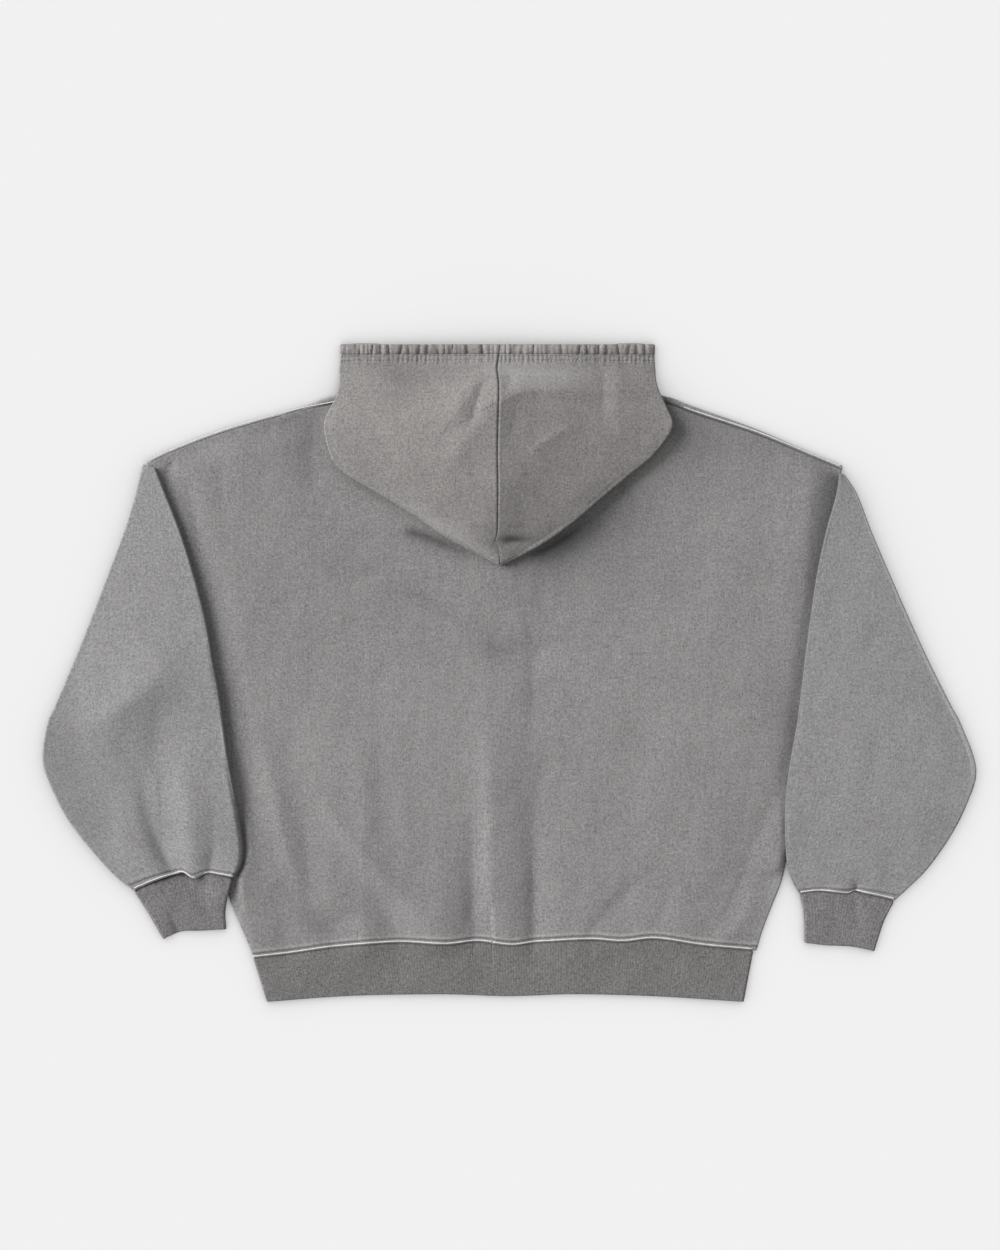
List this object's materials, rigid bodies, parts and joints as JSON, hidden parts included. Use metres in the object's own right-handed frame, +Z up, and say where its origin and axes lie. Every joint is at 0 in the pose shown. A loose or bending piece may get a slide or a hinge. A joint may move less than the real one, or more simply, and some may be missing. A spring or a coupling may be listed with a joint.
{
  "type": "zip-up hoodie",
  "caption": "Boxy zip-up hoodie in washed grey fleece, laid flat on its front with the sleeves down and the hood spread over the back.",
  "frame": {"origin": "on the surface that the garment lies on, under the middle of its outline", "axes": "+X across the garment towards its right sleeve as seen from above, +Y from the hem towards the hood, +Z up from the surface"},
  "size_m": [0.9823, 0.6904, 0.0331],
  "materials": {
    "fleece": "washed, faintly mottled brushed-back fleece",
    "rib": "washed fine vertical rib knit",
    "zip_tape": "woven tape",
    "zip_metal": "dull worn nickel"
  },
  "bodies": {
    "hoodie": {"back": "fleece", "front_left": "fleece", "front_right": "fleece", "sleeve_left": "fleece", "sleeve_right": "fleece", "cuff_left": "rib", "cuff_right": "rib", "hem_band": "rib", "hood_left": "fleece", "hood_right": "fleece", "zip_tape_left": "zip_tape", "zip_tape_right": "zip_tape", "zip_chain": "zip_metal", "zip_box": "zip_metal", "zip_stop_left": "zip_metal", "zip_stop_right": "zip_metal", "zip_slider": "zip_metal"},
    "pull_tab": {"zip_pull": "zip_metal"}
  },
  "joints": [
    {"name": "pull_tab_hinge", "type": "hinge", "parent": "hoodie", "child": "pull_tab", "pos_m": [-0.011, 0.2005, 0.0022], "axis": [1, 0, 0], "range_deg": [0, 165]}
  ]
}
